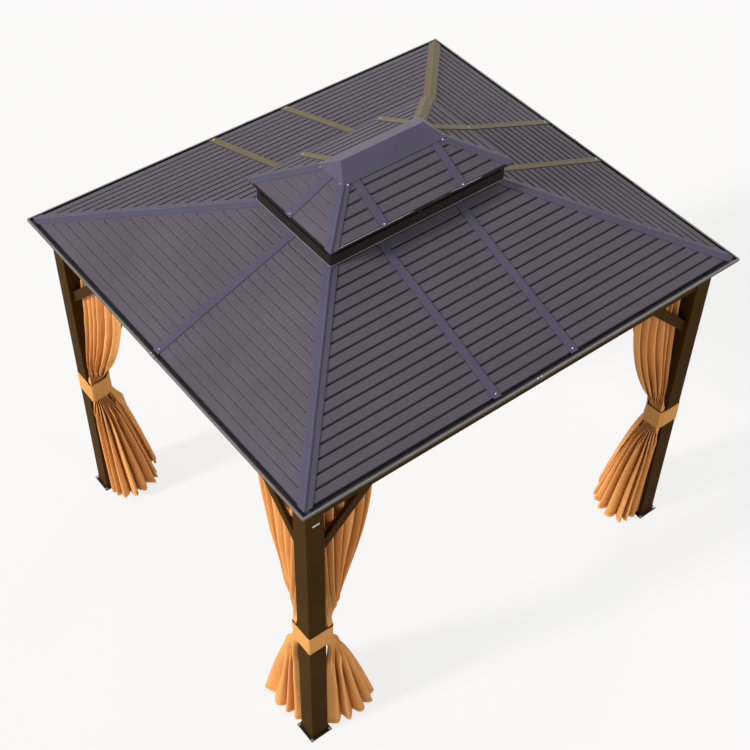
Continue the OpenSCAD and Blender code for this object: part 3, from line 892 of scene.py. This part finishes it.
GROOVE_W = 0.014
GROOVE_D = 0.006
GROOVE_END = 0.004
EDGE_IN = 0.002
SEAM_IN = 0.033
HIP_IN = 0.058


def groove_stations(face, top_z, grooves):
    """Outward places up a ribbed face, each with the groove's floor height or None on the flats."""
    top = face.out_at(top_z)
    pitch = (face.eave[0] - top) / (grooves + 1)
    stations = [(face.eave[0], None)]
    for number in range(grooves, 0, -1):
        out = top + number * pitch
        floor = face.height(out) - GROOVE_D
        stations += [(out + GROOVE_W / 2, None), (out + GROOVE_W / 4, floor),
                     (out - GROOVE_W / 4, floor), (out - GROOVE_W / 2, None)]
    return stations + [(top, None)]


def sheet_row(face, out, floor, low, high):
    """Points across one panel; low and high each give its edge and the end of its grooves."""
    (left, start), (right, stop) = low, high
    step = GROOVE_END
    grooved = stop - start > 4 * GROOVE_END
    if not grooved:
        step = (right - left) / 5
        start, stop = left + step, right - step
    row = [face.point(a, out) for a in (left, start, start + step, stop - step, stop, right)]
    if grooved and floor is not None:
        row[2].z = row[3].z = floor
    return row


def face_sheets(face, beside, seams, top_z, grooves):
    """The panels of one roof face, parted at its seams; beside is a face round the hip."""
    panels = [[] for _ in range(len(seams) + 1)]
    for out, floor in groove_stations(face, top_z, grooves):
        half = beside.out_at(face.height(out))
        lows = [(EDGE_IN - half, HIP_IN - half)] + [(at + EDGE_IN, at + SEAM_IN) for at in seams]
        highs = [(at - EDGE_IN, at - SEAM_IN) for at in seams] + [(half - EDGE_IN, half - HIP_IN)]
        for panel, low, high in zip(panels, lows, highs):
            panel.append(sheet_row(face, out, floor, low, high))
    return [np.array(panel) for panel in panels]


class GAZEBO_OT_sheets(bpy.types.Operator):
    """Makes the ribbed roof sheets, with every groove open"""

    bl_idname = "gazebo.sheets"
    bl_label = "Roof sheets"

    def execute(self, context):
        lower, upper = lower_faces(), upper_faces()
        upper_sheets = []
        for side, face in lower.items():
            node = "lower_panels_" + side
            beside = "right" if face.axis == 1 else "back"
            top_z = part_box(node)[1][2]
            self.sheets(node, face_sheets(face, lower[beside], LOWER_SEAMS[side], top_z, LOWER_GROOVES))
            top_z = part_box("upper_panels")[1][2]
            upper_sheets += face_sheets(upper[side], upper[beside], UPPER_SEAMS[side], top_z, UPPER_GROOVES)
        self.sheets("upper_panels", upper_sheets)
        return {"FINISHED"}

    def sheets(self, node, panels):
        """One piece with all the panels of a node, in the node's place."""
        work = bmesh.new()
        for points in panels:
            mesh = grid_mesh("panel", points)
            if mesh.polygons[0].normal.z < 0:
                mesh.flip_normals()
            work.from_mesh(mesh)
            bpy.data.meshes.remove(mesh)
        mesh = plain_mesh("ribbed_" + node, work)
        piece = add_object("ribbed_" + node, mesh, MATERIALS["roof_sheet"])
        thicken(piece, SHEET_T, -1)
        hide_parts(node)


# Fasteners and trims

class GAZEBO_OT_fasteners(bpy.types.Operator):
    """Sets the bolts and screws"""

    bl_idname = "gazebo.fasteners"
    bl_label = "Fasteners"

    def execute(self, context):
        self.anchor_bolts()
        self.roof_screws()
        self.ridge_screws()
        self.brace_screws()
        return {"FINISHED"}

    def anchor_bolts(self):
        """Hex bolts in the corner holes of the base plates."""
        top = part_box("base_plates")[1][2]
        places = []
        for sx, sy in CORNERS.values():
            cx = sx * (POST_X - POST_W / 2)
            cy = sy * (POST_Y - POST_W / 2)
            for kx, ky in CORNERS.values():
                places.append(((cx + kx * HOLE_OFF, cy + ky * HOLE_OFF, top), (0, 0, 1)))
        fasteners("anchor_bolts", places, radius=0.0078, height=0.0065, sides=6, washer=0.0092)

    def brace_screws(self):
        """One screw at each end of every knee brace, on its outer face."""
        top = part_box("beam_front")[0][2]
        long_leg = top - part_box("knee_braces")[0][2]
        near = 0.028
        far = long_leg - BRACE_CUT / 2 - near
        places = []
        for axis, half, beam in ((1, POST_X, "beam_back"), (0, POST_Y, "beam_right")):
            lo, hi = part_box(beam)
            face = (lo[axis] + hi[axis] + BRACE_T) / 2
            for end in (-1, 1):
                for sign in (-1, 1):
                    for in_by, down in ((near, far), (far, near)):
                        along = end * (half - POST_W - in_by)
                        place = in_plan(axis, sign * face, along, top - down)
                        places.append((place, in_plan(axis, sign, 0, 0)))
        fasteners("brace_screws", places, radius=0.006, height=0.004, sides=6, coat="frame_paint")

    def ridge_screws(self):
        """Two screws at each lower corner of the ridge cap, one on each side."""
        lo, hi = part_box("ridge_cap")
        in_by, proud, z = 0.030, 0.0002, lo[2] + 0.004
        places = []
        for sx, sy in CORNERS.values():
            places.append(((sx * (hi[0] - in_by), sy * (hi[1] + proud), z), (0, sy, 0.4)))
            places.append(((sx * (hi[0] + proud), sy * (hi[1] - in_by), z), (sx, 0, 0.4)))
        fasteners("ridge_screws", places, radius=0.005, height=0.003)

    def roof_screws(self):
        """A screw in the lower end of each seam cap."""
        places = []
        for faces, seams, gap in ((lower_faces(), LOWER_SEAMS, 0.012), (upper_faces(), UPPER_SEAMS, 0.004)):
            for side, face in faces.items():
                for along in seams[side]:
                    places.append((face.point(along, face.eave[0] - gap, STRIP_T), face.normal()))
        fasteners("seam_screws", places, radius=0.005, height=0.0032)


def tube_mesh(name, runs, radius, sides=12):
    """Round bars with closed ends from point to point."""
    work = bmesh.new()
    for start, end in runs:
        start, end = Vector(start), Vector(end)
        turn = (end - start).to_track_quat("Z", "Y").to_matrix().to_4x4()
        place = Matrix.Translation((start + end) / 2) @ turn
        bmesh.ops.create_cone(work, cap_ends=True, segments=sides, radius1=radius, radius2=radius,
                              depth=(end - start).length, matrix=place)
    mesh = plain_mesh(name, work)
    smooth(mesh)
    return mesh


def sleeve_mesh(name, half_l, sides, low, high, lip, wall):
    """Angle plates over the middle joints of the gutters."""
    work = bmesh.new()
    for axis, sign, out in sides:
        profile = ((out + wall, low), (out + wall, high + wall), (out - lip, high + wall),
                   (out - lip, high), (out, high), (out, low))
        ends = [[work.verts.new(in_plan(axis, sign * reach, along, z)) for reach, z in profile]
                for along in (-half_l, half_l)]
        for i in range(len(profile)):
            work.faces.new((ends[0][i - 1], ends[0][i], ends[1][i], ends[1][i - 1]))
        for ring in ends:
            work.faces.new(ring[:2] + ring[4:])
            work.faces.new(ring[1:5])
    bmesh.ops.recalc_face_normals(work, faces=work.faces)
    return plain_mesh(name, work)


class GAZEBO_OT_trims(bpy.types.Operator):
    """Makes the vent flashing, hip beads, gutter joints and the blank plate"""

    bl_idname = "gazebo.trims"
    bl_label = "Trims"

    def execute(self, context):
        self.flashing()
        self.hip_beads()
        self.gutter_joints()
        self.blank_plate()
        return {"FINISHED"}

    def flashing(self):
        """A pale folded edge round the foot of the vent."""
        half_x, half_y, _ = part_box("vent_frame")[1]
        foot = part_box("lower_seam_caps")[1][2] + 0.0005
        tall, wall = 0.007, 0.004
        band = [[(sx * (half_x + grow), sy * (half_y + grow), foot + up)
                 for sx, sy in ((-1, -1), (1, -1), (1, 1), (-1, 1))]
                for grow, up in ((wall, 0), (wall, tall), (0, tall), (0, 0))]
        mesh = grid_mesh("vent_flashing", np.array(band), True, closed_v=True)
        face_outwards(mesh)
        add_object("vent_flashing", mesh, MATERIALS["flashing"])

    def hip_beads(self):
        """A rounded crest along each hip."""
        radius, lift = 0.0075, STRIP_T - 0.003
        runs = []
        for faces in (lower_faces(), upper_faces()):
            (far_x, _), (near_x, _) = faces["right"].eave, faces["right"].top
            (far_y, low), (near_y, high) = faces["back"].eave, faces["back"].top
            for sx, sy in CORNERS.values():
                runs.append(((sx * far_x, sy * far_y, low + lift), (sx * near_x, sy * near_y, high + lift)))
        mesh = tube_mesh("hip_beads", runs, radius)
        add_object("hip_beads", mesh, MATERIALS["hip_trim"])

    def gutter_joints(self):
        """Sleeves over the mid-side gutter joints, each with two screws."""
        sides, places = [], []
        for side, axis, sign in SIDES:
            lo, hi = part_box("gutter_" + side)
            sides.append((axis, sign, max(abs(lo[axis]), abs(hi[axis]))))
        low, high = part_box("gutter_front")[0][2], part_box("gutter_front")[1][2]
        half_l, lip, wall, screw_off, screw_in = 0.025, 0.009, 0.0015, 0.014, 0.004
        mesh = sleeve_mesh("gutter_joints", half_l, sides, low, high, lip, wall)
        add_object("gutter_joints", mesh, MATERIALS["gutter_metal"])
        for axis, sign, out in sides:
            for along in (-screw_off, screw_off):
                places.append((in_plan(axis, sign * (out - screw_in), along, high + wall), (0, 0, 1)))
        fasteners("gutter_screws", places, radius=0.0035, height=0.002)

    def blank_plate(self):
        """A small bare metal plate near the top of the front left post."""
        wide, tall, thick, rounding = 0.046, 0.013, 0.0015, 0.004
        in_by, up = 0.062, 2.085
        work = bmesh.new()
        bmesh.ops.create_cube(work, size=1.0)
        bmesh.ops.scale(work, vec=(wide, thick, tall), verts=work.verts)
        upright = [e for e in work.edges if abs(e.verts[0].co.y - e.verts[1].co.y) > thick / 2]
        bmesh.ops.bevel(work, geom=upright, offset=rounding, segments=4, affect="EDGES", profile=0.5)
        bmesh.ops.translate(work, vec=(POST_LO[0] + in_by, POST_LO[1] - thick / 2, up), verts=work.verts)
        add_object("blank_plate", plain_mesh("blank_plate", work), MATERIALS["plate_blank"])


# Stage

FLOOR_REACH = 40.0
FLOOR_WHITE = 0.8
VIEW_AZIMUTH, VIEW_ELEVATION, VIEW_ROLL = -38.82, 47.157, 1.338
VIEW_TARGET = (-0.185, -0.2101, 1.5)
VIEW_DISTANCE = 8.5335
KEY_TOWARDS = (-0.88, 0.16, 0.45)
FILL_TOWARDS = (0.33, -0.93, 0.05)
GLOW_TOWARDS = (0.74, 0.46, 0.49)


class GAZEBO_OT_stage(bpy.types.Operator):
    """Sets the floor, the light and the camera"""

    bl_idname = "gazebo.stage"
    bl_label = "Stage"

    def execute(self, context):
        stage = context.scene.gazebo_stage
        self.floor()
        self.light(context, stage)
        self.camera(context, stage)
        context.scene.view_settings.view_transform = "Standard"
        return {"FINISHED"}

    def floor(self):
        mesh = bpy.data.meshes.new("studio_floor")
        far = FLOOR_REACH
        mesh.from_pydata([(-far, -far, 0), (far, -far, 0), (far, far, 0), (-far, far, 0)], [], [(0, 1, 2, 3)])
        floor = link_new("studio_floor", mesh)
        s = Shader("studio_floor")
        s.set(Base_Color=(0.86, 0.86, 0.85, 1), Roughness=0.9, Specular_IOR_Level=0.1)
        glow = s.add("ShaderNodeEmission", {"Color": (1, 1, 1, 1), "Strength": 1.0})
        seen = s.math("MULTIPLY", s.seen_rays(), FLOOR_WHITE)
        blend = s.add("ShaderNodeMixShader", {0: seen, 1: s.body.outputs[0], 2: glow.outputs[0]})
        s.links.new(blend.outputs[0], s.nodes["Material Output"].inputs["Surface"])
        mesh.materials.append(s.material)

    def light(self, context, stage):
        world = bpy.data.worlds.new("studio_sky")
        context.scene.world = world
        world.use_nodes = True
        sky = Nodes(world.node_tree)
        level = sky.add("ShaderNodeMapRange", {"Value": sky.seen_rays(), "To Min": stage.sky, "To Max": 1.0})
        back = sky.nodes["Background"]
        sky.put(back.inputs["Strength"], level.outputs[0])
        sky.put(back.inputs["Color"], (1, 1, 1, 1))
        self.sun("key_sun", stage.sun, 10, (1.0, 0.97, 0.93), KEY_TOWARDS)
        self.sun("front_fill", stage.fill, 40, (1.0, 0.98, 0.96), FILL_TOWARDS)
        self.sun("back_sun", stage.glow, 25, (1.0, 0.88, 0.70), GLOW_TOWARDS)

    def sun(self, name, strength, angle, colour, towards):
        lamp = bpy.data.lights.new(name, "SUN")
        lamp.energy = strength
        lamp.angle = math.radians(angle)
        lamp.color = colour
        sun = link_new(name, lamp)
        sun.rotation_euler = Vector(towards).to_track_quat("Z", "Y").to_euler()

    def camera(self, context, stage):
        azimuth, elevation, roll = map(math.radians, (VIEW_AZIMUTH, VIEW_ELEVATION, VIEW_ROLL))
        back = Vector((math.sin(azimuth) * math.cos(elevation), -math.cos(azimuth) * math.cos(elevation),
                       math.sin(elevation)))
        turn = back.to_track_quat("Z", "Y").to_matrix() @ Matrix.Rotation(roll, 3, "Z")
        data = bpy.data.cameras.new("photo_camera")
        data.lens = stage.lens
        data.sensor_width = 36.0
        camera = link_new("photo_camera", data)
        camera.location = Vector(VIEW_TARGET) + back * VIEW_DISTANCE
        camera.rotation_euler = turn.to_euler()
        context.scene.camera = camera


class GAZEBO_PT_panel(bpy.types.Panel):
    """Lists the steps"""

    bl_label = "Gazebo"
    bl_idname = "GAZEBO_PT_panel"
    bl_space_type = "VIEW_3D"
    bl_region_type = "UI"
    bl_category = "Gazebo"

    def draw(self, context):
        for step in STEPS:
            self.layout.operator(step.bl_idname)


STEPS = (GAZEBO_OT_finishes, GAZEBO_OT_curtains, GAZEBO_OT_straps, GAZEBO_OT_sheets, GAZEBO_OT_fasteners,
         GAZEBO_OT_trims, GAZEBO_OT_stage)
SETTINGS = {"gazebo_finish": GazeboFinish, "gazebo_curtain": GazeboCurtain, "gazebo_stage": GazeboStage}


def register():
    for name, group in SETTINGS.items():
        bpy.utils.register_class(group)
        setattr(bpy.types.Scene, name, bpy.props.PointerProperty(type=group))
    for step in (*STEPS, GAZEBO_PT_panel):
        bpy.utils.register_class(step)


def unregister():
    for step in reversed((*STEPS, GAZEBO_PT_panel)):
        bpy.utils.unregister_class(step)
    for name, group in SETTINGS.items():
        delattr(bpy.types.Scene, name)
        bpy.utils.unregister_class(group)


def main():
    register()
    bpy.ops.gazebo.finishes()
    bpy.ops.gazebo.curtains()
    bpy.ops.gazebo.straps()
    bpy.ops.gazebo.sheets()
    bpy.ops.gazebo.fasteners()
    bpy.ops.gazebo.trims()
    bpy.ops.gazebo.stage()


if __name__ == "__main__":
    main()
